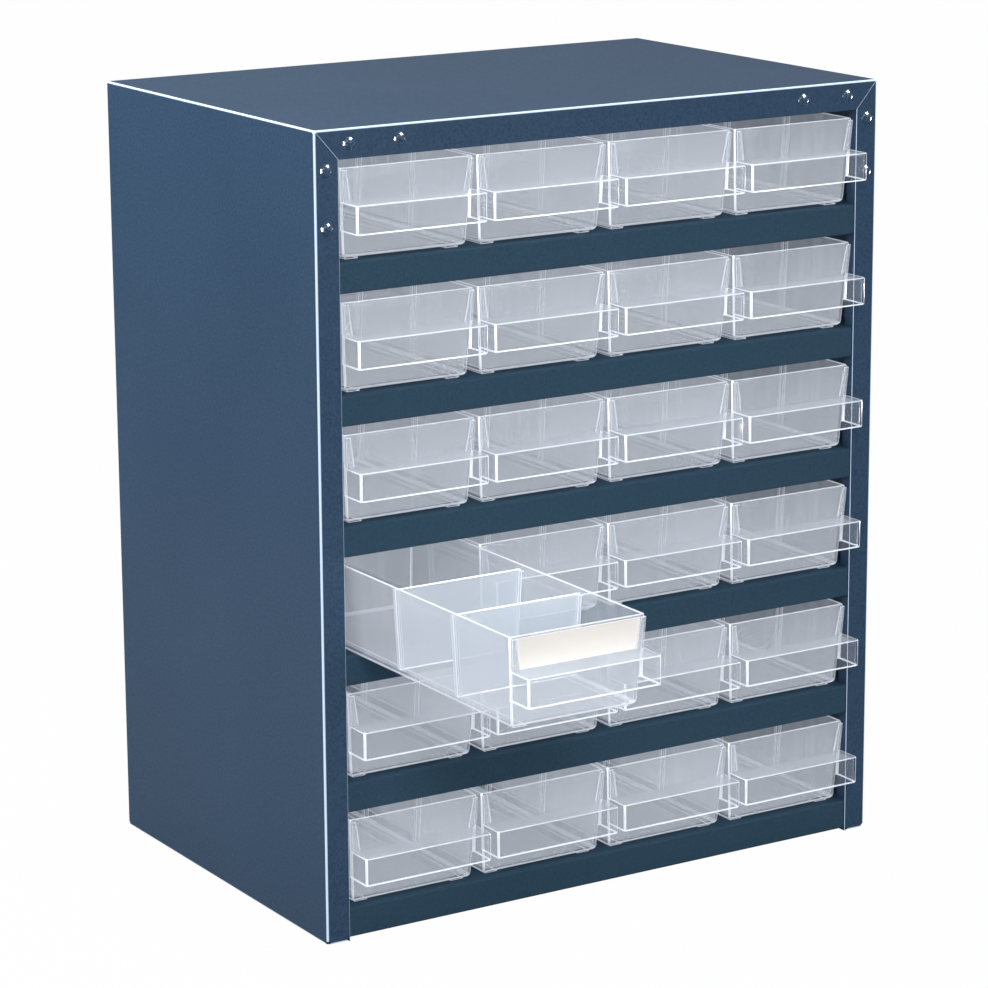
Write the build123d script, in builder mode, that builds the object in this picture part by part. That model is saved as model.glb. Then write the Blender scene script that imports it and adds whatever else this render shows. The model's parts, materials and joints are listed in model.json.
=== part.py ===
# Parts bin cabinet: a folded steel case with six shelves and twenty-four clear drawers.
#
# Millimetres, +Z up. The drawers face -Y and slide out towards it. The origin lies on the
# floor, under the middle of the box round the whole object as it stands, which is with
# one drawer pulled out.

import os
from math import cos, radians, sin, tan
from build123d import *

os.makedirs("parts", exist_ok=True)

# ---------- Driving dimensions ----------

# Layout of the front
columns = 4
rows = 6
column_pitch = 82.0
row_pitch = 69.6            # from one shelf's surface to the next
side_margin = 0.5           # left over beside the outer columns
side_flange = 14.0          # front flange of each side panel
top_flange = 15.9           # front flange of the top panel
base_gap = 1.5              # floor to the lowest shelf lip
case_depth = 236.0

# Sheet steel
sheet = 0.8
bend_radius = 1.5           # outside radius of a fold
return_depth = 8.0          # front flanges turn back into the case by this much
rear_flange = 12.0
base_return = 12.0          # the side panels turn in along the floor
mitre_gap = 0.35            # open joint between the side and top flanges
corner_relief = 2.0         # notch where three folds would meet at each lower corner
fold_gap = 0.2              # between a shelf and the flange returns

# Back panel
hang_hole_diameter = 6.0
hang_hole_height = 27.0     # above the surface of its shelf

# Shelves
lip_height = 16.4
lip_recess = 0.8            # lips stand this far behind the front flanges
lip_hem = 8.0
shelf_side_flange = 12.0
shelf_rear_flange = 10.0
shelf_bend = 1.2
ridge_height = 2.5
ridge_slope = 25.0          # degrees from upright
ridge_start = 14.0          # behind the front of the case
ridge_end = 20.0            # before the back panel

# Corner plates and rivets
plate_thickness = 1.0
plate_reach_across = 60.0
plate_reach_down = 62.0
plate_gap = 0.9             # between a corner plate and the folds around it
rivet_pitch = 30.0
rivet_inset_across = 20.5   # from the side of the case to the first rivet
rivet_inset_down = 21.0     # from the top of the case to the first rivet
rivet_sides = 12            # small fasteners are drawn with twelve sides
rivet_shank_diameter = 3.2
rivet_hole_clearance = 0.05
rivet_head_diameter = 7.2
rivet_head_height = 1.7
rivet_slope_across = 2.0    # the head slopes in from its rim by this much
rivet_slope_down = 1.2
rivet_tail_height = 1.0

# Drawers
front_recess = 2.0          # drawer front behind the front of the case
rear_gap = 8.0              # drawer back to the back of the case
drawer_gap = 2.4            # between neighbouring drawers at the rim
headroom = 4.7              # drawer rim to the lip above
wall_draft = 3.3            # degrees that all four walls lean outwards
wall = 1.4
floor_thickness = 1.6
foot_chamfer = 2.6          # between the side walls and the floor, outside
stop_catch = 4.3            # the back wall stands this far above the lip's lower edge
stop_width = 64.0
stop_corner = 4.0
stop_gap = 0.4
runner_width = 8.0
runner_height = 1.3
runner_inset = 3.0          # from the foot of the side wall
runner_end_gap = 6.0        # from the rim's front and back
guide_clearance = 1.2       # drawer foot to the ridges on the shelf
open_pull = 160.0           # how far the open drawer is out

# Handle: a shell open underneath
handle_bottom = 15.8        # above the shelf surface
handle_height = 15.3
handle_reach = 16.0         # in front of the drawer's rim
handle_wall = 1.4
handle_margin = 0.6         # narrower than the rim, each side
handle_corner = 1.0

# Label pocket above the handle
lip_top_width = 2.7
lip_foot_width = 4.6
lip_thickness = 0.9
pocket_depth = 0.8
pocket_edge = 0.5           # lip to the drawer's side
pocket_top_margin = 0.9
card_thickness = 0.4
card_margin = 1.0           # card to the closed end of its slot
card_drop = 1.2             # card below the drawer's rim

# Divider slots
slot_count = 2
slot_pitch = 56.5           # from the front, and from one slot to the next
slot_width = 1.9
slot_rib_width = 2.3
slot_rib_depth = 1.5
slot_rib_drop = 2.5         # ribs end this far below the rim
divider_thickness = 1.4
divider_clearance = 0.3
divider_drop = 2.0

# ---------- Sizes that follow ----------

opening_width = columns * column_pitch + 2 * side_margin
opening_top = base_gap + rows * row_pitch
case_width = opening_width + 2 * side_flange
case_height = opening_top + top_flange
row_opening = row_pitch - lip_height

inner_width = case_width - 2 * sheet
inner_height = case_height - 2 * sheet
back_panel_depth = case_depth - 2 * sheet          # front face of the back panel

drawer_width = column_pitch - drawer_gap
drawer_length = case_depth - front_recess - rear_gap
drawer_height = row_opening - headroom
drawer_foot_width = drawer_width - 2 * (drawer_height - runner_height) * tan(radians(wall_draft))
stop_height = row_opening + stop_catch
handle_top = handle_bottom + handle_height
handle_width = drawer_width - 2 * handle_margin

# Overall box at rest: the open drawer's handle reaches out of the front
front_reach = open_pull + handle_reach - front_recess
front_y = (front_reach - case_depth) / 2
case_middle_y = front_y + case_depth / 2

# A drawer stops when its back wall meets the hem of the lip above
drawer_travel = drawer_length + front_recess - wall - lip_recess - lip_hem - stop_gap


def shelf_level(row):
    """Height of the shelf surface under a row, where row 1 is the top one."""
    return base_gap + lip_height + (rows - row) * row_pitch


def column_middle(column):
    return (column - (columns + 1) / 2) * column_pitch


def drawer_half_width(height):
    """Half the outside width of a drawer at a height above its shelf."""
    return drawer_width / 2 - (drawer_height - height) * tan(radians(wall_draft))


def front_face(height):
    """How far a drawer's front face lies behind its rim, at a height above its shelf."""
    return (drawer_height - height) * tan(radians(wall_draft))


def write_node(builder, name):
    builder.part.label = name
    export_step(builder.part, f"parts/{name}.step")


# ---------- Case: sides, top and front flanges in one folded sheet ----------

# Rivet places, on the front plane: across the top flange, and down the side flanges
rivet_places = []
for side in (-1, 1):
    for number in range(2):
        across = case_width / 2 - rivet_inset_across - number * rivet_pitch
        down = case_height - rivet_inset_down - number * rivet_pitch
        rivet_places.append((side * across, case_height - top_flange / 2))
        rivet_places.append((side * (case_width - side_flange) / 2, down))

with BuildPart() as casing:
    with BuildSketch(Plane((0, case_middle_y, 0))):
        Rectangle(case_width, case_depth)
    extrude(amount=case_height)
    fillet(casing.edges(), radius=bend_radius)
    with BuildSketch(Plane((0, case_middle_y, sheet))):
        Rectangle(inner_width, case_depth - 2 * sheet)
    extrude(amount=inner_height, mode=Mode.SUBTRACT)

    # Reliefs where the flange, the side and its return along the floor would meet
    with BuildSketch(Plane((0, case_middle_y, 0))):
        with GridLocations(case_width, case_depth, 2, 2):
            Rectangle(2 * corner_relief, 2 * corner_relief)
    extrude(amount=corner_relief, mode=Mode.SUBTRACT)

    # Front opening, down to the floor, and the rear opening inside its flange
    front_plane = Plane.XZ.offset(-front_y)
    with BuildSketch(front_plane):
        with Locations((0, opening_top)):
            Rectangle(opening_width, case_height, align=(Align.CENTER, Align.MAX))
    extrude(amount=-2 * sheet, mode=Mode.SUBTRACT)
    rear_plane = Plane.XZ.offset(-(front_y + case_depth))
    with BuildSketch(rear_plane):
        with Locations((0, rear_flange)):
            Rectangle(
                case_width - 2 * rear_flange,
                case_height - 2 * rear_flange,
                align=(Align.CENTER, Align.MIN),
            )
    extrude(amount=2 * sheet, mode=Mode.SUBTRACT)

    # Open floor between the side panels' returns
    with BuildSketch(Plane((0, case_middle_y, 0))):
        Rectangle(case_width - 2 * base_return, case_depth + 2 * sheet)
    extrude(amount=2 * sheet, mode=Mode.SUBTRACT)

    # The front flanges turn back round the opening
    with BuildSketch(front_plane):
        with Locations((0, opening_top + sheet)):
            Rectangle(
                opening_width + 2 * sheet, opening_top + sheet, align=(Align.CENTER, Align.MAX)
            )
        with Locations((0, opening_top)):
            Rectangle(
                opening_width, opening_top, align=(Align.CENTER, Align.MAX), mode=Mode.SUBTRACT
            )
    extrude(amount=-return_depth)
    opening_edges = casing.edges().filter_by(Axis.Z).filter_by(
        lambda edge: abs(abs(edge.center().X) - opening_width / 2) < sheet / 2
        and abs(edge.center().Y - front_y) < sheet / 2
    )
    fillet(opening_edges, radius=sheet / 2)

    # Mitred joint between the side and top flanges
    with BuildSketch(front_plane):
        for side in (-1, 1):
            with BuildLine():
                outer = Vector(side * (case_width / 2 - bend_radius), case_height - bend_radius)
                inner = Vector(side * (opening_width / 2 - sheet), opening_top - sheet)
                across = (outer - inner).normalized().rotate(Axis.Z, 90) * (mitre_gap / 2)
                Polyline(outer + across, inner + across, inner - across, outer - across, close=True)
            make_face()
    extrude(amount=-2 * return_depth, mode=Mode.SUBTRACT)

    # Rivet holes
    with BuildSketch(front_plane):
        with Locations(*rivet_places):
            RegularPolygon(rivet_shank_diameter / 2 + rivet_hole_clearance, rivet_sides)
    extrude(amount=-2 * sheet, mode=Mode.SUBTRACT)
write_node(casing, "casing")

# ---------- Back panel, set in against the rear flange ----------

with BuildPart() as back_panel:
    with BuildSketch(Plane.XZ.offset(-(front_y + back_panel_depth))):
        with Locations((0, case_height / 2)):
            Rectangle(inner_width - 2 * bend_radius, inner_height - 2 * bend_radius)
        hole_bottom = shelf_level(rows) + hang_hole_height
        hole_top = shelf_level(1) + hang_hole_height
        for hole_height in (hole_bottom, hole_top):
            with Locations((column_middle(1), hole_height), (column_middle(columns), hole_height)):
                Circle(hang_hole_diameter / 2, mode=Mode.SUBTRACT)
    extrude(amount=-sheet)
write_node(back_panel, "back_panel")

# ---------- Shelves: lip and hem in front, flanges at the sides and back ----------

shelf_front = front_y + lip_recess
shelf_rear = front_y + back_panel_depth
ridge_foot = column_pitch - drawer_foot_width - 2 * guide_clearance
ridge_length = back_panel_depth - ridge_start - ridge_end
ridge_middle_y = front_y + ridge_start + ridge_length / 2

with BuildPart() as shelf:
    # Section from the hem, up the lip, back along the shelf and down the rear flange
    with BuildSketch(Plane.YZ):
        with BuildLine() as section:
            half = sheet / 2
            FilletPolyline(
                (shelf_front + lip_hem, half - lip_height),
                (shelf_front + half, half - lip_height),
                (shelf_front + half, -half),
                (shelf_rear - half, -half),
                (shelf_rear - half, -shelf_rear_flange),
                radius=shelf_bend - half,
            )
        trace(line_width=sheet)
    extrude(amount=inner_width / 2, both=True)

    # Front corners notched round the flange returns
    notch_width = (inner_width - opening_width) / 2 + fold_gap
    notch_depth = return_depth + fold_gap - lip_recess
    with BuildSketch(Plane((0, shelf_front, 0))):
        for side in (-1, 1):
            with Locations((side * (opening_width / 2 - fold_gap), -notch_depth)):
                Rectangle(
                    notch_width * 2,
                    notch_depth * 2,
                    align=(Align.MIN if side > 0 else Align.MAX, Align.MIN),
                )
    extrude(amount=-2 * lip_height, both=True, mode=Mode.SUBTRACT)

    # Side flanges, turned down against the side panels
    flange_start = front_y + return_depth + 2 * bend_radius
    with BuildSketch(Plane.YZ.offset(inner_width / 2)):
        with Locations((flange_start, 0)):
            Rectangle(
                shelf_rear - sheet - flange_start,
                shelf_side_flange,
                align=(Align.MIN, Align.MAX),
            )
    extrude(amount=-sheet)
    mirror(about=Plane.YZ)

    # Pressed ridges that guide the drawers, hollow underneath
    with BuildSketch(Plane((0, ridge_middle_y, -half))):
        with GridLocations(column_pitch, 1, columns + 1, 1):
            Rectangle(ridge_foot, ridge_length)
    extrude(amount=ridge_height + half, taper=ridge_slope)
    with BuildSketch(Plane((0, ridge_middle_y, -sheet))):
        with GridLocations(column_pitch, 1, columns + 1, 1):
            Rectangle(ridge_foot - sheet, ridge_length - sheet)
    extrude(amount=ridge_height, taper=ridge_slope, mode=Mode.SUBTRACT)

for row in range(1, rows + 1):
    with BuildPart() as placed_shelf:
        with Locations((0, 0, shelf_level(row))):
            add(shelf.part)
    write_node(placed_shelf, "bottom_shelf" if row == rows else f"shelf_{row}")

# ---------- Corner plates behind the mitres, and the rivets that hold them ----------

plate_left = sheet + plate_gap - case_width / 2
plate_up = case_height - sheet - plate_gap
plate_inner_x = -(opening_width / 2 + sheet + plate_gap)
plate_inner_z = opening_top + sheet + plate_gap
plate_plane = Plane.XZ.offset(-(front_y + sheet))

with BuildPart() as corner_plate_left:
    with BuildSketch(plate_plane):
        with BuildLine():
            Polyline(
                (plate_left, plate_up),
                (plate_left + plate_reach_across, plate_up),
                (plate_left + plate_reach_across, plate_inner_z),
                (plate_inner_x, plate_inner_z),
                (plate_inner_x, plate_up - plate_reach_down),
                (plate_left, plate_up - plate_reach_down),
                close=True,
            )
        make_face()
        with Locations(*[place for place in rivet_places if place[0] < 0]):
            RegularPolygon(
                rivet_shank_diameter / 2 + rivet_hole_clearance, rivet_sides, mode=Mode.SUBTRACT
            )
    extrude(amount=-plate_thickness)
write_node(corner_plate_left, "corner_plate_left")

with BuildPart() as corner_plate_right:
    add(corner_plate_left.part.mirror(Plane.YZ))
write_node(corner_plate_right, "corner_plate_right")

# A rivet: a sloped head, and a shank through the flange and the plate
with BuildPart() as rivet:
    with BuildSketch(Plane.XZ):
        RegularPolygon(rivet_head_diameter / 2, rivet_sides)
    extrude(amount=rivet_head_height)
    crown = rivet.faces().sort_by(Axis.Y)[0]
    chamfer(crown.edges(), length=rivet_slope_across, length2=rivet_slope_down, reference=crown)
    with BuildSketch(Plane.XZ):
        RegularPolygon(rivet_shank_diameter / 2, rivet_sides)
    extrude(amount=-(sheet + plate_thickness + rivet_tail_height))

with BuildPart() as corner_rivets:
    with Locations(*[(x, front_y, z) for x, z in rivet_places]):
        add(rivet.part)
write_node(corner_rivets, "corner_rivets")

# ---------- Drawer: one moulding, made on its own origin ----------
#
# x = 0 is the drawer's middle, y = 0 the front of its rim, z = 0 the shelf surface.

rim_plane = Plane.XY.offset(drawer_height)
label_plane = Plane(
    origin=(0, 0, drawer_height),
    x_dir=(1, 0, 0),
    z_dir=(0, -cos(radians(wall_draft)), -sin(radians(wall_draft))),
)
inner_foot = runner_height + floor_thickness


def slanted_height(height):
    """Place on the leaning front face, down from the rim, of a height above the shelf."""
    return (height - drawer_height) / cos(radians(wall_draft))


def tub_section(inset, foot, corner):
    """Section across the tub's side walls and floor, inset all round from the outside."""
    foot_x = drawer_half_width(foot) - inset
    rim_x = drawer_half_width(drawer_height) - inset
    with BuildSketch() as section:
        with BuildLine():
            Polyline(
                (-rim_x, drawer_height), (-foot_x, foot), (foot_x, foot), (rim_x, drawer_height), close=True
            )
        outline = make_face()
        chamfer(outline.vertices().group_by(Axis.Y)[0], length=corner)
    return section.sketch


with BuildPart() as drawer_hollow:
    with BuildSketch(Plane.XZ.offset(-wall)):
        add(tub_section(wall, inner_foot, foot_chamfer - wall / 2))
    extrude(amount=2 * wall - drawer_length)
    draft(drawer_hollow.faces().filter_by(Axis.Y), -rim_plane, wall_draft)

with BuildPart() as drawer:
    # Tub: one section along its length, then the front and back lean out like the sides
    with BuildSketch(Plane.XZ):
        add(tub_section(0, runner_height, foot_chamfer))
    extrude(amount=-drawer_length)
    draft(drawer.faces().filter_by(Axis.Y), -rim_plane, wall_draft)

    # Back wall raised into a stop
    with BuildSketch(Plane.XZ.offset(-drawer_length)):
        with BuildLine():
            Polyline(
                (-stop_width / 2, drawer_height / 2),
                (-stop_width / 2, stop_height),
                (stop_width / 2, stop_height),
                (stop_width / 2, drawer_height / 2),
                close=True,
            )
        stop_outline = make_face()
        chamfer(stop_outline.vertices().group_by(Axis.Z)[-1], length=stop_corner)
    extrude(amount=wall)

    add(drawer_hollow.part, mode=Mode.SUBTRACT)

    # Runners under the floor
    runner_x = drawer_foot_width / 2 - runner_inset - runner_width / 2
    with BuildSketch(Plane((0, drawer_length / 2, 0))):
        with Locations((-runner_x, 0), (runner_x, 0)):
            Rectangle(runner_width, drawer_length - 2 * runner_end_gap)
    extrude(amount=runner_height + floor_thickness / 2)

    # Paired ribs on the side walls, a slot for a divider between each pair
    rib_top = drawer_height - slot_rib_drop
    for number in range(1, slot_count + 1):
        for side in (-1, 1):
            rib_y = number * slot_pitch + side * (slot_width + slot_rib_width) / 2
            with BuildSketch(Plane.XZ.offset(-rib_y)):
                with BuildLine():
                    Polyline(
                        (drawer_half_width(rib_top) - wall / 2, rib_top),
                        (drawer_half_width(rib_top) - wall - slot_rib_depth, rib_top),
                        (drawer_half_width(inner_foot) - wall - slot_rib_depth, inner_foot),
                        (drawer_half_width(inner_foot) - wall, inner_foot),
                        close=True,
                    )
                make_face()
                mirror(about=Plane.YZ)
            extrude(amount=slot_rib_width / 2, both=True)

    # Handle: top, front and end walls, open below
    with BuildSketch(Plane.YZ):
        with BuildLine():
            Polyline(
                (-handle_reach, handle_bottom),
                (-handle_reach, handle_top),
                (front_face(handle_top) + wall / 2, handle_top),
                (front_face(handle_bottom) + wall / 2, handle_bottom),
                close=True,
            )
        make_face()
    extrude(amount=handle_width / 2, both=True)
    handle_corners = drawer.edges().filter_by(Axis.Z).group_by(Axis.Y)[0]
    chamfer(handle_corners, length=handle_corner)
    with BuildSketch(Plane.YZ):
        with BuildLine():
            Polyline(
                (handle_wall - handle_reach, handle_bottom),
                (handle_wall - handle_reach, handle_top - handle_wall),
                (front_face(handle_top - handle_wall), handle_top - handle_wall),
                (front_face(handle_bottom), handle_bottom),
                close=True,
            )
        make_face()
    extrude(amount=handle_width / 2 - handle_wall, both=True, mode=Mode.SUBTRACT)

    # Label pocket: a slanted lip at each end, standing off the front face
    lip_top = drawer_height - pocket_top_margin
    with BuildSketch(label_plane):
        with BuildLine():
            Polyline(
                (drawer_half_width(lip_top) - pocket_edge, slanted_height(lip_top)),
                (drawer_half_width(lip_top) - pocket_edge - lip_top_width, slanted_height(lip_top)),
                (drawer_half_width(handle_top) - pocket_edge - lip_foot_width, slanted_height(handle_top)),
                (drawer_half_width(handle_top) - pocket_edge, slanted_height(handle_top)),
                close=True,
            )
        make_face()
        mirror(about=Plane.YZ)
    extrude(amount=pocket_depth + lip_thickness)
    with BuildSketch(label_plane):
        with Locations((0, slanted_height(handle_top))):
            Rectangle(
                2 * (drawer_half_width(handle_top) - pocket_edge - lip_thickness),
                slanted_height(drawer_height) - slanted_height(handle_top),
                align=(Align.CENTER, Align.MIN),
            )
    extrude(amount=pocket_depth, mode=Mode.SUBTRACT)

for row in range(1, rows + 1):
    for column in range(1, columns + 1):
        is_open = row == 4 and column == 1
        pull = open_pull if is_open else 0
        place = (column_middle(column), front_y + front_recess - pull, shelf_level(row))
        if is_open:
            open_drawer_place = place
        with BuildPart() as placed_drawer:
            with Locations(place):
                add(drawer.part)
        write_node(placed_drawer, f"drawer_r{row}c{column}")

# ---------- Dividers and label card of the open drawer ----------

with BuildPart() as divider:
    divider_top = drawer_height - divider_drop
    divider_foot = inner_foot + divider_clearance
    side_gap = wall + divider_clearance
    with BuildSketch(Plane.XZ):
        with BuildLine():
            Polyline(
                (-drawer_half_width(divider_top) + side_gap, divider_top),
                (drawer_half_width(divider_top) - side_gap, divider_top),
                (drawer_half_width(divider_foot) - side_gap, divider_foot),
                (-drawer_half_width(divider_foot) + side_gap, divider_foot),
                close=True,
            )
        make_face()
    extrude(amount=divider_thickness / 2, both=True)

for number in range(1, slot_count + 1):
    with BuildPart() as placed_divider:
        with Locations(Vector(*open_drawer_place) + Vector(0, number * slot_pitch, 0)):
            add(divider.part)
    write_node(placed_divider, f"divider_{number}")

with BuildPart() as label_card:
    card_half = drawer_half_width(handle_top) - pocket_edge - lip_thickness - card_margin
    card_top = drawer_height - card_drop
    card_plane = label_plane.offset((pocket_depth - card_thickness) / 2)
    with BuildSketch(card_plane):
        with Locations((0, slanted_height(handle_top))):
            Rectangle(
                2 * card_half,
                slanted_height(card_top) - slanted_height(handle_top),
                align=(Align.CENTER, Align.MIN),
            )
    extrude(amount=card_thickness)

with BuildPart() as placed_card:
    with Locations(open_drawer_place):
        add(label_card.part)
write_node(placed_card, "label_card")

print("case", round(case_width, 2), round(case_depth, 2), round(case_height, 2))
print("front at y", round(front_y, 3), "drawer travel", round(drawer_travel, 2))
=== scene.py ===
# Parts bin cabinet: a painted steel case with twenty-four clear drawers, one of them pulled out.
# Metres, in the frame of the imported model. Sizes of a moulding are written in millimetres.
import json
import math

import bmesh
import bpy
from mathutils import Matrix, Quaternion, Vector

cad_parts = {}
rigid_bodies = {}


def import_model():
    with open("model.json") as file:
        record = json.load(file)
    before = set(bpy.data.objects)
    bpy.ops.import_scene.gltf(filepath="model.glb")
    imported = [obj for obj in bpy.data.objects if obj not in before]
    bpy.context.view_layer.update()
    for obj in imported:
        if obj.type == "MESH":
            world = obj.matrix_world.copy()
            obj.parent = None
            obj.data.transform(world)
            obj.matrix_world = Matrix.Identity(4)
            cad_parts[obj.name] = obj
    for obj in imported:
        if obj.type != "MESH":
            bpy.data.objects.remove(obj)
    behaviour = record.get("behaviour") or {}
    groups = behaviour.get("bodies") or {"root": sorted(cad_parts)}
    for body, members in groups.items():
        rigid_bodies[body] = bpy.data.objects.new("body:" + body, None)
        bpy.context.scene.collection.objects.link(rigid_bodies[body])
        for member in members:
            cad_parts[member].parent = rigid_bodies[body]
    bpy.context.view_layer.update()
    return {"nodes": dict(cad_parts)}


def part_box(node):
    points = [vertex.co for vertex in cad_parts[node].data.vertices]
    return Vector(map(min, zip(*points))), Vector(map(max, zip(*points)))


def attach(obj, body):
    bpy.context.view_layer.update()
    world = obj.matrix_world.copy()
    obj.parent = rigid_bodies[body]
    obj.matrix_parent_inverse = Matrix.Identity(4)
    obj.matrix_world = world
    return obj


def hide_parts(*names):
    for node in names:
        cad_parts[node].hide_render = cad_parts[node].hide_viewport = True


for leftover in list(bpy.data.objects):
    bpy.data.objects.remove(leftover)

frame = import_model()
scene = bpy.context.scene
mm = 0.001

print("frame loaded:", len(frame["nodes"]), "nodes")


# A socket that can be added, multiplied and so on: each step becomes a Math node
class Wire:
    def __init__(self, recipe, socket):
        self.recipe = recipe
        self.socket = socket

    def math(self, operation, first, second=0.0, clamp=False):
        settings = {"operation": operation, "use_clamp": clamp}
        return self.recipe.node("ShaderNodeMath", settings, {0: first, 1: second})

    def __add__(self, other):
        return self.math("ADD", self, other)

    def __radd__(self, other):
        return self.math("ADD", other, self)

    def __sub__(self, other):
        return self.math("SUBTRACT", self, other)

    def __rsub__(self, other):
        return self.math("SUBTRACT", other, self)

    def __mul__(self, other):
        return self.math("MULTIPLY", self, other)

    def __rmul__(self, other):
        return self.math("MULTIPLY", other, self)

    def clamped(self):
        return self.math("ADD", self, 0.0, clamp=True)

    def size(self):
        return self.math("ABSOLUTE", self)


# One node tree, filled by expressions
class Recipe:
    def __init__(self, owner):
        owner.use_nodes = True
        self.tree = owner.node_tree
        self.tree.nodes.clear()

    def node(self, kind, settings=None, values=None, output=0):
        made = self.tree.nodes.new(kind)
        for name, setting in (settings or {}).items():
            setattr(made, name, setting)
        for name, value in (values or {}).items():
            if isinstance(value, Wire):
                self.tree.links.new(value.socket, made.inputs[name])
            else:
                made.inputs[name].default_value = value
        return Wire(self, made.outputs[output]) if made.outputs else made

    def objectSpace(self, stretch=(1.0, 1.0, 1.0)):
        place = self.node("ShaderNodeTexCoord", output="Object")
        return self.node("ShaderNodeMapping", None, {"Vector": place, "Scale": stretch})

    def noise(self, where, scale, detail=2.0, roughness=0.5):
        values = {"Vector": where, "Scale": scale, "Detail": detail, "Roughness": roughness}
        return self.node("ShaderNodeTexNoise", None, values, "Fac")

    def mixColour(self, amount, first, second):
        settings = {"data_type": "RGBA"}
        return self.node("ShaderNodeMix", settings, {"Factor": amount, 6: first, 7: second}, 2)

    def bump(self, height, strength, distance):
        return self.node(
            "ShaderNodeBump", None, {"Height": height, "Strength": strength, "Distance": distance}
        )

    def surface(self, **values):
        named = {name.replace("_", " "): value for name, value in values.items()}
        shader = self.node("ShaderNodeBsdfPrincipled", None, named)
        self.node("ShaderNodeOutputMaterial", None, {"Surface": shader})


def rgb(red, green, blue):
    # Colours are written as they look on screen, 0 to 255
    def linear(value):
        share = value / 255
        return share / 12.92 if share <= 0.04045 else ((share + 0.055) / 1.055) ** 2.4

    return (linear(red), linear(green), linear(blue), 1.0)


# ---- Finishes

paint = {
    "colour": (38, 58, 80),
    "paleColour": (54, 76, 100),
    "shelfColour": (42, 64, 80),
    "shelfPaleColour": (50, 73, 90),
    # pale paint in the mitred joint: a painted highlight
    "seamHighlightColour": (150, 165, 182),
    "foldHighlightColour": (182, 199, 221),  # painted highlight: the pale line along a fold
    "foldHighlightGlow": 0.34,          # how much the painted highlight glows by itself
    "foldSharpness": 4.5,       # higher makes its sides harder
    "foldFrom": 0.95,           # higher makes it narrower
    "cloudScale": 9.0,          # slow change of shade over the panels
    "cloudShare": 0.4,
    "speckScale": 700.0,        # fine mottling of the powder
    "speckShare": 1.5,
    "paleFrom": 0.45,           # how much of clouds and specks it takes to turn pale
    "peelScale": 520.0,         # orange peel of the powder coat
    "peelStrength": 0.5,
    "peelDepth": 0.00006,
    "roughness": 0.31,
    "shelfRoughness": 0.62,
    "rivetRoughness": 0.20,
    "roughnessSpread": 0.08,
    "ior": 1.22,
    "shelfIor": 1.08,
}


def foldHighlightMask(recipe):
    # Mask of the painted fold highlight: 0 on the flat panels, near 1 on the crown of a fold,
    # where the surface faces between two axes
    facing = recipe.node("ShaderNodeTexCoord", output="Normal")
    split = recipe.node("ShaderNodeSeparateXYZ", None, {"Vector": facing})
    x, y, z = [Wire(recipe, socket).size() for socket in split.socket.node.outputs]
    return ((x * y + y * z + z * x) * paint["foldSharpness"] - paint["foldFrom"]).clamped()


def paintedSteel(
    name,
    roughness,
    colour=paint["colour"],
    paleColour=paint["paleColour"],
    ior=paint["ior"],
    paintFoldHighlight=False,
):
    material = bpy.data.materials.new(name)
    recipe = Recipe(material)
    place = recipe.objectSpace()
    cloud = recipe.noise(place, paint["cloudScale"], 3.0)
    peel = recipe.noise(place, paint["peelScale"], 2.0, 0.6)
    speck = recipe.noise(place, paint["speckScale"], 1.0)
    paleness = cloud * paint["cloudShare"] + speck * paint["speckShare"] - paint["paleFrom"]
    colour = recipe.mixColour(paleness.clamped(), rgb(*colour), rgb(*paleColour))
    paintedGlow = {}
    # A painted highlight along the folds: a paler colour and a glow on their crowns
    if paintFoldHighlight:
        highlight = foldHighlightMask(recipe)
        colour = recipe.mixColour(highlight, colour, rgb(*paint["foldHighlightColour"]))
        paintedGlow["Emission_Color"] = recipe.mixColour(highlight, (0, 0, 0, 1), rgb(*paint["foldHighlightColour"]))
        paintedGlow["Emission_Strength"] = paint["foldHighlightGlow"]
    recipe.surface(
        **paintedGlow,
        Base_Color=colour,
        Roughness=peel * paint["roughnessSpread"] + (roughness - paint["roughnessSpread"] / 2),
        IOR=ior,
        Normal=recipe.bump(peel, paint["peelStrength"], paint["peelDepth"]),
    )
    return material


plastic = {
    "colour": (136, 142, 149),
    # Paler edges are a painted highlight, for the bright lines along the edges of the clear
    # moulding
    "edgeHighlightColour": (200, 205, 211),
    # The glow values below are painted light: emission in place of light scattered inside the
    # plastic
    "paintedGlowColour": (236, 243, 255),
    "wallAlpha": 0.29,          # of one face; a wall has two
    "handleAlpha": 0.05,
    "floorAlpha": 0.38,
    "edgeAlpha": 0.55,
    "paintedGlow": 0.31,               # painted glow: emission standing in for the light that wanders inside the moulding
    "edgePaintedGlow": 0.54,
    "milkyColour": (146, 156, 166),
    # The divider's paler edges are a painted highlight too
    "milkyEdgeHighlightColour": (205, 211, 217),
    "milkyAlpha": 0.45,
    "milkyEdgeAlpha": 0.70,
    "hazeScale": 34.0,          # slow change of clearness
    "hazeLift": 8,              # of the colour, 0 to 255
    "hazeAlpha": 0.06,
    "hazeRoughness": 0.12,
    "streakFineness": 16,       # streaks are this much finer than the haze
    "streakStretch": (1.0, 0.25, 0.06),     # drawn out along Z, up the walls
    "streakStrength": 0.34,
    "edgeStreaks": 0.04,
    "faintStreaks": 0.02,
    "roughness": 0.16,
    "ior": 1.49,
    "waveStrength": 0.35,
    "waveDepth": 0.00012,
}


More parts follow.
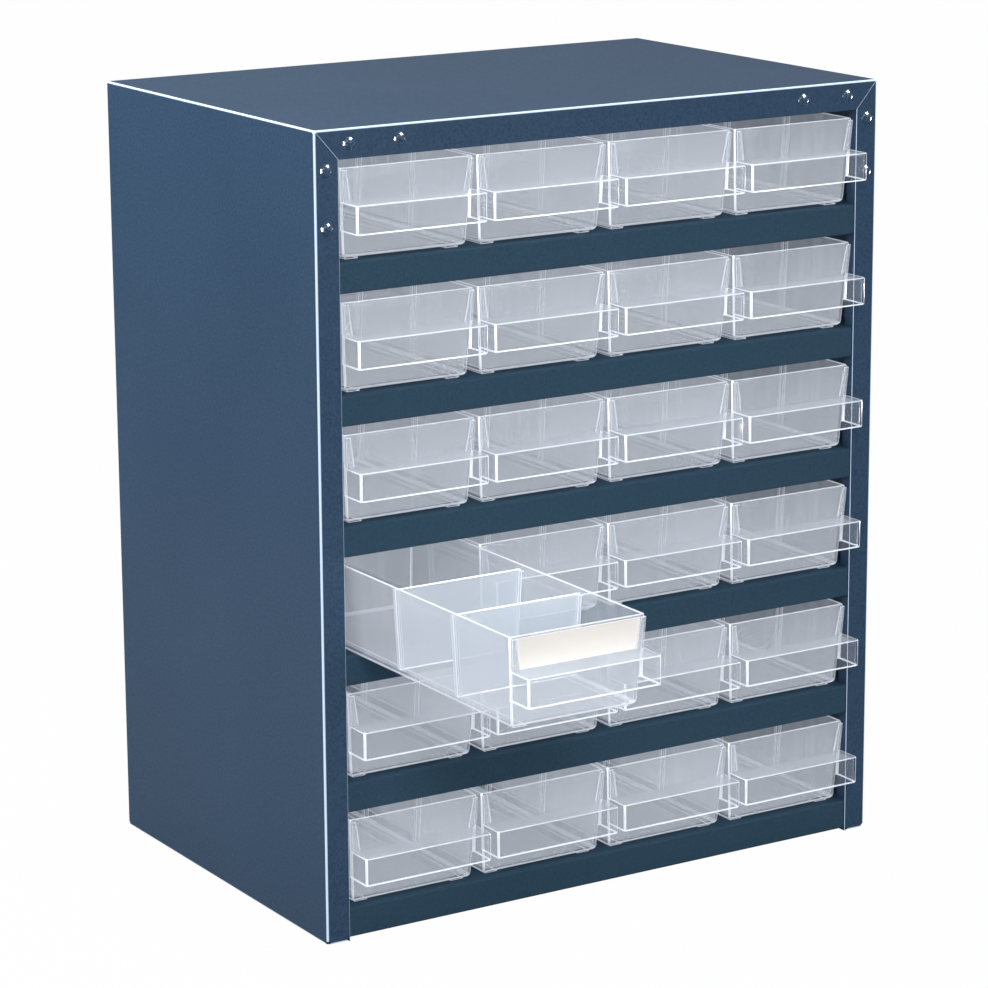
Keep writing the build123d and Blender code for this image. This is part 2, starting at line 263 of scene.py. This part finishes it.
def clearPlastic(name, colour, alpha, streaks, paintedGlow):
    material = bpy.data.materials.new(name)
    recipe = Recipe(material)
    # Flow marks of the moulding
    upright = recipe.objectSpace(plastic["streakStretch"])
    streak = recipe.noise(upright, plastic["hazeScale"] * plastic["streakFineness"], 2.0, 0.6)
    haze = recipe.noise(recipe.objectSpace(), plastic["hazeScale"], 2.0)
    lifted = [min(255, value + plastic["hazeLift"]) for value in colour]
    opacity = (streak - 0.5) * streaks + (haze - 0.5) * plastic["hazeAlpha"] + alpha
    recipe.surface(
        Base_Color=recipe.mixColour(haze, rgb(*colour), rgb(*lifted)),
        Roughness=haze * plastic["hazeRoughness"] + plastic["roughness"],
        IOR=plastic["ior"],
        Alpha=opacity.clamped(),
        # The emission is a painted glow, standing in for light inside the moulding
        Emission_Color=rgb(*plastic["paintedGlowColour"]),
        Emission_Strength=paintedGlow,
        Normal=recipe.bump(streak, plastic["waveStrength"], plastic["waveDepth"]),
    )
    return material


card = {
    "colour": (216, 212, 207),
    "paleColour": (224, 220, 215),
    "fibreScale": 1500.0,
    "fibreStretch": (1.0, 1.0, 3.0),
    "fibreStrength": 0.4,
    "fibreDepth": 0.00004,
    "roughness": 0.75,
    "roughnessSpread": 0.1,
}


def cardPaper():
    material = bpy.data.materials.new("whiteCard")
    recipe = Recipe(material)
    fibre = recipe.noise(recipe.objectSpace(card["fibreStretch"]), card["fibreScale"], 3.0, 0.7)
    recipe.surface(
        Base_Color=recipe.mixColour(fibre, rgb(*card["colour"]), rgb(*card["paleColour"])),
        Roughness=fibre * card["roughnessSpread"] + card["roughness"],
        Normal=recipe.bump(fibre, card["fibreStrength"], card["fibreDepth"]),
    )
    return material


blueSteel = paintedSteel("bluePowderCoat", paint["roughness"], paintFoldHighlight=True)
shelfSteel = paintedSteel(
    "shelfPowderCoat",
    paint["shelfRoughness"],
    paint["shelfColour"],
    paint["shelfPaleColour"],
    paint["shelfIor"],
)
rivetPaint = paintedSteel("rivetPaint", paint["rivetRoughness"])
# The joint's paint is pale: a painted highlight along the mitre
seamHighlightPaint = paintedSteel(
    "seamHighlightPaint", paint["roughness"], paint["seamHighlightColour"], paint["seamHighlightColour"]
)


def plasticOf(name, colour, alpha, streaks, paintedGlow):
    # All but the name are keys of the plastic dictionary
    return clearPlastic(name, plastic[colour], plastic[alpha], plastic[streaks], plastic[paintedGlow])


wallPlastic = plasticOf("clearWall", "colour", "wallAlpha", "streakStrength", "paintedGlow")
handlePlastic = plasticOf("clearHandle", "colour", "handleAlpha", "faintStreaks", "paintedGlow")
# Edge faces get a paler colour and more glow: a painted highlight along the edges
edgeHighlightPlastic = plasticOf("clearEdgeHighlight", "edgeHighlightColour", "edgeAlpha", "edgeStreaks", "edgePaintedGlow")
floorPlastic = plasticOf("clearFloor", "colour", "floorAlpha", "faintStreaks", "paintedGlow")
milkyPlastic = plasticOf("milkyDivider", "milkyColour", "milkyAlpha", "edgeStreaks", "paintedGlow")
milkyEdgeHighlight = plasticOf(
    "milkyDividerEdgeHighlight", "milkyEdgeHighlightColour", "milkyEdgeAlpha", "edgeStreaks", "edgePaintedGlow"
)
paper = cardPaper()
print("finishes made")


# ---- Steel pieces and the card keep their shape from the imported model

for name, node in frame["nodes"].items():
    if name.startswith(("drawer_", "divider_")):
        continue
    finish = paper if name == "label_card" else shelfSteel if "shelf" in name else blueSteel
    node.data.materials.clear()
    node.data.materials.append(finish)


# ---- Mesh helpers

# Material numbers of a drawer; a divider and a seam use the first two
wallFace, edgeFace, handleFace, floorFace = 0, 1, 2, 3

cornerSteps = 4
cornerSides = [corner * (cornerSteps + 1) + step for corner in range(4) for step in (1, 2)]


def roundedRing(xSide, yFront, yBack, height, radius, steps=cornerSteps):
    # A rounded rectangle at one height, anticlockwise seen from above
    corners = [
        (xSide - radius, yFront + radius, -90),
        (xSide - radius, yBack - radius, 0),
        (-xSide + radius, yBack - radius, 90),
        (-xSide + radius, yFront + radius, 180),
    ]
    ring = []
    for x, y, start in corners:
        for step in range(steps + 1):
            angle = math.radians(start + 90 * step / steps)
            across, along = radius * math.cos(angle), radius * math.sin(angle)
            ring.append(Vector((x + across, y + along, height)))
    return ring


def loftRings(rings, edgeBands=(), edgeSides=(), plainFace=wallFace, capFace=wallFace):
    # Joins rings of equal length into one closed shell
    # Whole bands, and sides of every band, may be edge faces
    shell = bmesh.new()
    loops = [[shell.verts.new(point * mm) for point in ring] for ring in rings]
    count = len(loops[0])
    shell.faces.new(list(reversed(loops[0]))).material_index = capFace
    shell.faces.new(loops[-1]).material_index = capFace
    for band, (low, high) in enumerate(zip(loops, loops[1:])):
        for i in range(count):
            j = (i + 1) % count
            face = shell.faces.new((low[i], low[j], high[j], high[i]))
            face.material_index = edgeFace if band in edgeBands or i in edgeSides else plainFace
    return shell


def prism(outline, direction, rounding=0.25, segments=2):
    # An outline pushed along a direction, with every edge rounded
    shell = bmesh.new()
    base = shell.faces.new([shell.verts.new(Vector(point) * mm) for point in outline])
    pushed = bmesh.ops.extrude_face_region(shell, geom=[base])
    moved = [item for item in pushed["geom"] if isinstance(item, bmesh.types.BMVert)]
    bmesh.ops.translate(shell, vec=Vector(direction) * mm, verts=moved)
    bmesh.ops.recalc_face_normals(shell, faces=shell.faces)
    bmesh.ops.bevel(
        shell,
        geom=list(shell.edges),
        offset=rounding * mm,
        segments=segments,
        profile=0.5,
        affect="EDGES",
        material=edgeFace,
    )
    return shell


def toObject(shell, name, materials):
    bmesh.ops.recalc_face_normals(shell, faces=shell.faces)
    mesh = bpy.data.meshes.new(name)
    shell.to_mesh(mesh)
    shell.free()
    for material in materials:
        mesh.materials.append(material)
    made = bpy.data.objects.new(name, mesh)
    scene.collection.objects.link(made)
    return made


def unite(base, others):
    # One closed skin from overlapping shells
    for number, other in enumerate(others):
        joint = base.modifiers.new(f"join{number}", "BOOLEAN")
        joint.operation = "UNION"
        joint.solver = "MANIFOLD"
        joint.object = other
    evaluated = base.evaluated_get(bpy.context.evaluated_depsgraph_get())
    mesh = bpy.data.meshes.new_from_object(evaluated)
    mesh.name = base.name
    for piece in [base, *others]:
        bpy.data.objects.remove(piece)
    return mesh


def smoothByAngle(mesh, degrees=32):
    mesh.shade_smooth()
    mesh.set_sharp_from_angle(angle=math.radians(degrees))


# ---- Drawer moulding, in millimetres
# x = 0 is its middle, y = 0 its front rim and z = 0 the shelf under it

drawer = {
    "width": 79.6,
    "length": 226.0,
    "height": 48.5,
    "draft": 3.3,               # degrees that the walls lean outwards
    "wall": 1.4,
    "floor": 1.6,
    "cornerRadius": 1.8,
    "leastCornerRadius": 0.25,
    "innerCornerExtra": 0.5,    # so the inner corners are rounder than the wall makes them
    "footRadius": 2.6,
    "outerFootSteps": 5,
    "innerFootSteps": 4,
    "rimRadius": 0.35,
    "rimCurve": 0.3,            # where the middle of the rounding lies, as a share of it
    "runnerWidth": 8.0,
    "runnerHeight": 1.3,
    "runnerInset": 3.0,
    "runnerEndGap": 6.0,
    "runnerRounding": 0.5,
    "stopWidth": 64.0,
    "stopHeight": 57.5,
    "stopCorner": 4.0,
    "stopOverlap": 6.0,         # how far it reaches down the back wall
    "stopSkin": 0.02,           # it is this much thinner than the wall on each side
    "stopRounding": 0.3,
    "handleLow": 15.8,
    "handleHigh": 31.1,
    "handleReach": 16.0,
    "handleMargin": 0.6,
    "handleWall": 1.4,
    "handleSoftness": 0.5,      # rounding of its edges
    "lipTopWidth": 2.7,
    "lipFootWidth": 4.6,
    "lipThickness": 0.9,
    "lipRounding": 0.2,
    "pocketDepth": 0.8,
    "pocketEdge": 0.5,
    "pocketTopMargin": 0.9,
    "pocketRoot": 0.4,          # how far it is buried in the front wall
    "pocketFootOverlap": 0.3,   # and in the handle
    "slotCount": 2,
    "slotPitch": 56.5,
    "slotWidth": 1.9,
    "ribWidth": 2.3,
    "ribDepth": 1.5,
    "ribDrop": 2.5,
    "ribRoot": 0.6,             # how deep it is buried, as a share of the wall or floor
    "ribRounding": 0.3,
}
lean = math.tan(math.radians(drawer["draft"]))


def leanAt(height):
    # How far a wall's outside stands in from the rim, at a height above the shelf
    return (drawer["height"] - height) * lean


def halfWidthAt(height):
    return drawer["width"] / 2 - leanAt(height)


def tubRing(height, inset, radius):
    return roundedRing(
        halfWidthAt(height) - inset,
        leanAt(height) + inset,
        drawer["length"] - leanAt(height) - inset,
        height,
        max(radius, drawer["leastCornerRadius"]),
    )


def tubShell():
    d = drawer
    outer = d["cornerRadius"]
    inner = d["cornerRadius"] - d["wall"] + d["innerCornerExtra"]
    rim, middle = d["rimRadius"], d["rimRadius"] * d["rimCurve"]
    high = d["height"]
    insideFoot = d["runnerHeight"] + d["floor"]
    innerFoot = d["footRadius"] - d["wall"] / 2
    rings = []
    for step in range(d["outerFootSteps"] + 1):     # round the outer foot
        angle = math.radians(90 * step / d["outerFootSteps"])
        inset = d["footRadius"] * (1 - math.sin(angle))
        height = d["runnerHeight"] + d["footRadius"] * (1 - math.cos(angle))
        rings.append(tubRing(height, inset, outer - inset / 2))
    rimStart = len(rings)
    rings.append(tubRing(high - rim, 0, outer))
    rings.append(tubRing(high - middle, middle, outer))
    rings.append(tubRing(high, rim, outer))
    rings.append(tubRing(high, d["wall"] - rim, inner))
    rings.append(tubRing(high - middle, d["wall"] - middle, inner))
    rings.append(tubRing(high - rim, d["wall"], inner))
    rimEnd = len(rings) - 1
    for step in range(d["innerFootSteps"] + 1):     # and round the inner foot
        angle = math.radians(90 * step / d["innerFootSteps"])
        inset = d["wall"] + innerFoot * (1 - math.cos(angle))
        rings.append(tubRing(insideFoot + innerFoot * (1 - math.sin(angle)), inset, inner))
    # The middle of the outer foot and the whole rim
    edgeBands = [1, 2, 3, *range(rimStart, rimEnd)]
    return loftRings(rings, edgeBands, cornerSides, capFace=floorFace)


def handleShell():
    # A cup upside down, whose back lies in the drawer's front wall
    d = drawer
    half = d["width"] / 2 - d["handleMargin"]
    wall, soft = d["handleWall"], d["handleSoftness"]

    def ring(height, inset, intoWall, radius):
        return roundedRing(
            half - inset, inset - d["handleReach"], leanAt(height) + intoWall, height, radius
        )

    low, high = d["handleLow"], d["handleHigh"]
    buried = d["wall"] * 0.5
    # From the inside of its top, down and round the lower rim, up to the outside of its top:
    # height, inset, how far into the front wall, corner radius
    rings = [
        ring(high - wall, wall, 0.15, 0.7),
        ring(low + soft, wall, 0.15, 0.9),
        ring(low, wall - soft * 0.6, 0.3, 1.2),
        ring(low, soft * 0.6, buried, 1.7),
        ring(low + soft, 0, buried, 2.0),
        ring(high - soft, 0, buried, 2.0),
        ring(high - soft * 0.3, soft * 0.3, buried, 1.9),
        ring(high, soft, buried - 0.05, 1.6),
    ]
    return loftRings(rings, (1, 2, 3, 5, 6), cornerSides, handleFace, floorFace)


def onFront(x, height, proud):
    # A point on the leaning front wall, and how far it stands proud of it
    slope = math.radians(drawer["draft"])
    return (x, leanAt(height) - proud * math.cos(slope), height - proud * math.sin(slope))


def pocketShells():
    d = drawer
    top = d["height"] - d["pocketTopMargin"]
    foot = d["handleHigh"] - d["pocketFootOverlap"]
    proud = d["pocketDepth"] + d["lipThickness"]
    shells = []
    for side in (-1, 1):
        outTop = side * (halfWidthAt(top) - d["pocketEdge"])
        outFoot = side * (halfWidthAt(foot) - d["pocketEdge"])

        def plate(topWidth, footWidth, near):
            # From its back, near the wall, out to the face of the lip
            back = [
                onFront(outTop, top, near),
                onFront(outTop - side * topWidth, top, near),
                onFront(outFoot - side * footWidth, foot, near),
                onFront(outFoot, foot, near),
            ]
            push = Vector(onFront(0, top, proud)) - Vector(onFront(0, top, near))
            lip = prism(back, push, d["lipRounding"])
            for face in lip.faces:
                if face.material_index == wallFace:
                    face.material_index = floorFace
            return lip

        shells.append(plate(d["lipTopWidth"], d["lipFootWidth"], d["pocketDepth"]))
        shells.append(plate(d["lipThickness"], d["lipThickness"], -d["pocketRoot"]))
    return shells


def stopShell():
    d = drawer
    half, corner, top = d["stopWidth"] / 2, d["stopCorner"], d["stopHeight"]
    foot = d["height"] - d["stopOverlap"]
    outline = [(half, foot), (half, top - corner), (half - corner, top)]
    for step in range(1, 4):                    # soften the corner
        turn = math.radians(90 * step / 4)
        x, z = half - corner + corner * math.cos(turn), top - corner + corner * math.sin(turn)
        outline.insert(1 + step, (x, z))
    outline = outline + [(-x, z) for x, z in reversed(outline)]
    back = d["length"] - d["stopSkin"]
    thickness = d["wall"] - 2 * d["stopSkin"]
    return prism([(x, back, z) for x, z in outline], (0, -thickness, 0), d["stopRounding"])


def runnerShells():
    d = drawer
    high = d["runnerHeight"] + d["floor"] / 2
    footHalf = halfWidthAt(d["runnerHeight"]) - d["runnerInset"]
    start, end = d["runnerEndGap"], d["length"] - d["runnerEndGap"]
    shells = []
    for side in (-1, 1):
        outside, inside = side * footHalf, side * (footHalf - d["runnerWidth"])
        corners = [(outside, start), (outside, end), (inside, end), (inside, start)]
        shells.append(prism([(x, y, 0) for x, y in corners], (0, 0, high), d["runnerRounding"]))
    return shells


def ribShells():
    d = drawer
    top = d["height"] - d["ribDrop"]
    foot = d["runnerHeight"] + d["floor"] * d["ribRoot"]
    root = d["wall"] * d["ribRoot"]
    shells = []
    for number in range(1, d["slotCount"] + 1):
        for pair in (-1, 1):
            middle = number * d["slotPitch"] + pair * (d["slotWidth"] + d["ribWidth"]) / 2
            y = middle - d["ribWidth"] / 2
            for side in (-1, 1):
                outline = [
                    (side * (halfWidthAt(top) - root), y, top),
                    (side * (halfWidthAt(top) - d["wall"] - d["ribDepth"]), y, top),
                    (side * (halfWidthAt(foot) - d["wall"] - d["ribDepth"]), y, foot),
                    (side * (halfWidthAt(foot) - root), y, foot),
                ]
                shells.append(prism(outline, (0, d["ribWidth"], 0), d["ribRounding"]))
    return shells


def drawerMesh():
    materials = [wallPlastic, edgeHighlightPlastic, handlePlastic, floorPlastic]
    base = toObject(tubShell(), "drawerMoulding", materials)
    shells = [handleShell(), stopShell(), *pocketShells(), *runnerShells(), *ribShells()]
    others = [toObject(shell, f"part{number}", materials) for number, shell in enumerate(shells)]
    mesh = unite(base, others)
    smoothByAngle(mesh)
    return mesh


def drawerOrigin(node):
    low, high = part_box(node)
    return Vector(((low.x + high.x) / 2, low.y + drawer["handleReach"] * mm, low.z))


moulding = drawerMesh()
print("drawer moulding:", len(moulding.polygons), "faces")
for node in sorted(frame["nodes"]):
    if node.startswith("drawer_"):
        piece = bpy.data.objects.new(node + "_moulding", moulding)
        piece.location = drawerOrigin(node)
        scene.collection.objects.link(piece)
        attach(piece, node)
        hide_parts(node)
print("drawers placed")


# ---- Dome rivets at the two mitred corners

rivet = {
    "headDiameter": 7.2,
    "headHeight": 1.7,
    "shankDiameter": 3.2,
    "shankLength": 2.8,
    "pitch": 30.0,
    "acrossInset": 13.5,        # from the side rivets to the first one along the top
    "turns": 40,                # facets round a rivet
    "domeSteps": 8,
    "rimUndercut": 0.1,         # the head's underside is this much smaller
    "rimThickness": 0.12,       # and lies this deep in the flange
}


def rivetMesh():
    # Turned about Y: the dome's rim lies at y = 0 and its crown points to the front
    half, high = rivet["headDiameter"] / 2, rivet["headHeight"]
    ball = (half * half + high * high) / (2 * high)
    reach = math.asin(half / ball)
    profile = []
    for step in range(1, rivet["domeSteps"] + 1):
        angle = reach * step / rivet["domeSteps"]
        profile.append((ball * math.sin(angle), ball - high - ball * math.cos(angle)))
    shank = rivet["shankDiameter"] / 2
    under, deep = half - rivet["rimUndercut"], rivet["rimThickness"]
    profile += [(under, deep), (shank, deep), (shank, rivet["shankLength"])]
    rings = []
    for radius, y in profile:
        turns = [math.tau * turn / rivet["turns"] for turn in range(rivet["turns"])]
        rings.append([Vector((radius * math.cos(a), y, radius * math.sin(a))) for a in turns])
    piece = toObject(loftRings(rings), "rivet", [rivetPaint])
    smoothByAngle(piece.data)
    mesh = piece.data
    bpy.data.objects.remove(piece)
    return mesh


def placeRivets():
    mesh = rivetMesh()
    low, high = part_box("corner_rivets")
    head = rivet["headDiameter"] / 2 * mm
    pitch = rivet["pitch"] * mm
    flange = low.y + rivet["headHeight"] * mm
    # The box gives the outer row's x, the upper row's z and the two lowest rivets
    sideX, topZ, lowZ = high.x - head, high.z - head, low.z + head
    inset = rivet["acrossInset"] * mm
    places = [
        (sideX, lowZ),
        (sideX, lowZ + pitch),
        (sideX - inset, topZ),
        (sideX - inset - pitch, topZ),
    ]
    for number, (x, z) in enumerate(places + [(-x, z) for x, z in places], 1):
        piece = bpy.data.objects.new(f"cornerRivet{number}", mesh)
        piece.location = (x, flange, z)
        scene.collection.objects.link(piece)
        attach(piece, "cabinet")
        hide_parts("corner_rivets")


placeRivets()
print("rivets placed")


# ---- Paint that bridges the mitred joint at each top corner, coloured pale as a painted highlight along the joint

seam = {
    "width": 0.33,
    "depth": 0.5,
    "behindFront": 0.05,
    "outerInset": 1.6,          # from the side and top of the case
    "innerInset": (14.0, 15.9), # where it meets the opening, from the side and from the top
    "rounding": 0.05,
}


def placeSeams():
    low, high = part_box("casing")
    front = low.y / mm + seam["behindFront"]
    sideX, topZ = high.x / mm, high.z / mm
    for side, name in ((-1, "mitreSeamLeft"), (1, "mitreSeamRight")):
        outset, (acrossInset, downInset) = seam["outerInset"], seam["innerInset"]
        outer = Vector((side * (sideX - outset), topZ - outset))
        inner = Vector((side * (sideX - acrossInset), topZ - downInset))
        along = (outer - inner).normalized()
        half = Vector((-along.y, along.x)) * (seam["width"] / 2)
        corners = [outer + half, inner + half, inner - half, outer - half]
        outline = [(corner.x, front, corner.y) for corner in corners]
        shell = prism(outline, (0, seam["depth"], 0), seam["rounding"], 1)
        piece = toObject(shell, name, [seamHighlightPaint, seamHighlightPaint])
        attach(piece, "cabinet")


placeSeams()
print("mitre seams placed")


# ---- Dividers of the open drawer

divider = {"drawer": "drawer_r4c1", "rounding": 0.4, "roundingSteps": 3}


def dividerPiece(node):
    low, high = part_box(node)
    origin = drawerOrigin(divider["drawer"])
    bottom = (low.z - origin.z) / mm
    top = (high.z - origin.z) / mm
    topHalf = (high.x - low.x) / 2 / mm
    footHalf = topHalf - (top - bottom) * lean
    thickness = (high.y - low.y) / mm
    corners = [(topHalf, top), (footHalf, bottom), (-footHalf, bottom), (-topHalf, top)]
    outline = [(x, 0, z) for x, z in corners]
    shell = prism(outline, (0, thickness, 0), divider["rounding"], divider["roundingSteps"])
    piece = toObject(shell, node + "_plate", [milkyPlastic, milkyEdgeHighlight])
    smoothByAngle(piece.data)
    piece.location = (origin.x, low.y, origin.z)
    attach(piece, divider["drawer"])
    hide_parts(node)


for node in ("divider_1", "divider_2"):
    dividerPiece(node)
print("dividers placed")


# ---- Floor, light and camera

studio = {
    "worldStrength": 0.42,
    "worldMirrored": 0.22,      # its strength in reflections
    "floorReach": 6.0,
    "floorColour": (140, 142, 145),
    "floorPaleColour": (146, 147, 149),
    "floorGrainScale": 60.0,
    "floorRoughness": 0.9,
    "floorIor": 1.2,
    "floorWhite": 0.99,         # how much of the floor is plain white to the camera
    "lights": {
        # name: place, target, size across and up, watts
        "topSoftbox": ((-0.10, 0.00, 2.10), (0, 0.08, 0.42), (1.0, 0.8), 24),
        "frontSoftbox": ((-0.75, -1.55, 1.28), (0, 0, 0.30), (0.5, 0.5), 20),
        "rightSoftbox": ((0.80, -2.20, 0.80), (0.05, 0, 0.27), (0.8, 0.8), 13),
        "leftSoftbox": ((-0.95, 0.30, 0.90), (-0.18, 0.10, 0.40), (0.5, 0.5), 12),
    },
    # These show only as reflections, on the mouldings and the rivets
    "glints": {
        "topGlint": ((0.90, -0.85, 1.65), (0, 0, 0.43), (0.9, 0.6), 800),
        "leftGlint": ((-0.80, -0.42, 0.36), (-0.18, -0.03, 0.36), (0.22, 0.50), 170),
        "backGlint": ((-0.60, 1.90, 1.60), (0, 0, 0.43), (0.4, 0.25), 40),
        "rightGlint": ((1.30, -0.02, 0.12), (0, -0.03, 0.42), (0.25, 0.25), 45),
    },
}


def rayKind(recipe, output):
    return recipe.node("ShaderNodeLightPath", output=output)


def whiteToCamera(recipe):
    # 1 for what the camera sees directly or through glass
    return (rayKind(recipe, "Is Camera Ray") + rayKind(recipe, "Is Transmission Ray")).clamped()


def makeFloor():
    shell = bmesh.new()
    bmesh.ops.create_grid(shell, x_segments=8, y_segments=8, size=studio["floorReach"])
    material = bpy.data.materials.new("paleFloor")
    recipe = Recipe(material)
    grain = recipe.noise(recipe.objectSpace(), studio["floorGrainScale"], 2.0)
    plain, pale = rgb(*studio["floorColour"]), rgb(*studio["floorPaleColour"])
    lit = recipe.node(
        "ShaderNodeBsdfPrincipled",
        None,
        {
            "Base Color": recipe.mixColour(grain, plain, pale),
            "Roughness": studio["floorRoughness"],
            "IOR": studio["floorIor"],
        },
    )
    white = recipe.node("ShaderNodeEmission", None, {"Color": (1, 1, 1, 1), "Strength": 1.0})
    share = whiteToCamera(recipe) * studio["floorWhite"]
    mixed = recipe.node("ShaderNodeMixShader", None, {0: share, 1: lit, 2: white})
    recipe.node("ShaderNodeOutputMaterial", None, {"Surface": mixed})
    floor = toObject(shell, "floor", [material])


def makeWorld():
    world = bpy.data.worlds.new("softWorld")
    recipe = Recipe(world)
    soft, mirrored = studio["worldStrength"], studio["worldMirrored"]
    seen, inMirror = whiteToCamera(recipe), rayKind(recipe, "Is Glossy Ray")
    strength = seen * (1 - soft) + soft + inMirror * (mirrored - soft)
    values = {"Color": (1, 1, 1, 1), "Strength": strength}
    backdrop = recipe.node("ShaderNodeBackground", None, values)
    recipe.node("ShaderNodeOutputWorld", None, {"Surface": backdrop})
    scene.world = world


def shinyPieces():
    # The glints fall on the mouldings and the rivets, never on the flat panels
    group = bpy.data.collections.new("shinyPieces")
    for piece in scene.collection.all_objects:
        if piece.name.endswith(("_moulding", "_plate")) or piece.name.startswith("cornerRivet"):
            group.objects.link(piece)
    return group


def makeLight(name, place, target, size, watts, receivers=None):
    lamp = bpy.data.lights.new(name, "AREA")
    lamp.shape = "RECTANGLE"
    lamp.size, lamp.size_y = size
    lamp.energy = watts
    made = bpy.data.objects.new(name, lamp)
    made.location = place
    made.rotation_mode = "QUATERNION"
    made.rotation_quaternion = (Vector(target) - Vector(place)).to_track_quat("-Z", "Y")
    made.visible_camera = False
    if receivers:
        made.visible_diffuse = False
        made.light_linking.receiver_collection = receivers
    scene.collection.objects.link(made)


eye = {
    "place": (-1.072, -1.637, 0.698),
    "azimuth": -31.78,
    "elevation": 13.36,
    "roll": -0.36,
    "sensorWidth": 36.0,
    "lens": 133.76,
    "shift": (0.007, -0.030),
}


def makeCamera():
    azimuth, elevation = math.radians(eye["azimuth"]), math.radians(eye["elevation"])
    level = math.cos(elevation)
    ahead = Vector(
        (-math.sin(azimuth) * level, math.cos(azimuth) * level, -math.sin(elevation))
    )
    roll = Quaternion((0, 0, 1), math.radians(eye["roll"]))
    data = bpy.data.cameras.new("photoCamera")
    data.sensor_width = eye["sensorWidth"]
    data.lens = eye["lens"]
    data.shift_x, data.shift_y = eye["shift"]
    made = bpy.data.objects.new("photoCamera", data)
    made.location = eye["place"]
    made.rotation_mode = "QUATERNION"
    made.rotation_quaternion = ahead.to_track_quat("-Z", "Y") @ roll
    scene.collection.objects.link(made)
    scene.camera = made


makeFloor()
makeWorld()
for name, (place, target, size, watts) in studio["lights"].items():
    makeLight(name, place, target, size, watts)
shiny = shinyPieces()
for name, (place, target, size, watts) in studio["glints"].items():
    makeLight(name, place, target, size, watts, shiny)
makeCamera()

scene.view_settings.view_transform = "Standard"
scene.cycles.transparent_max_bounces = 48      # a row of drawers has many clear walls
print("studio ready")
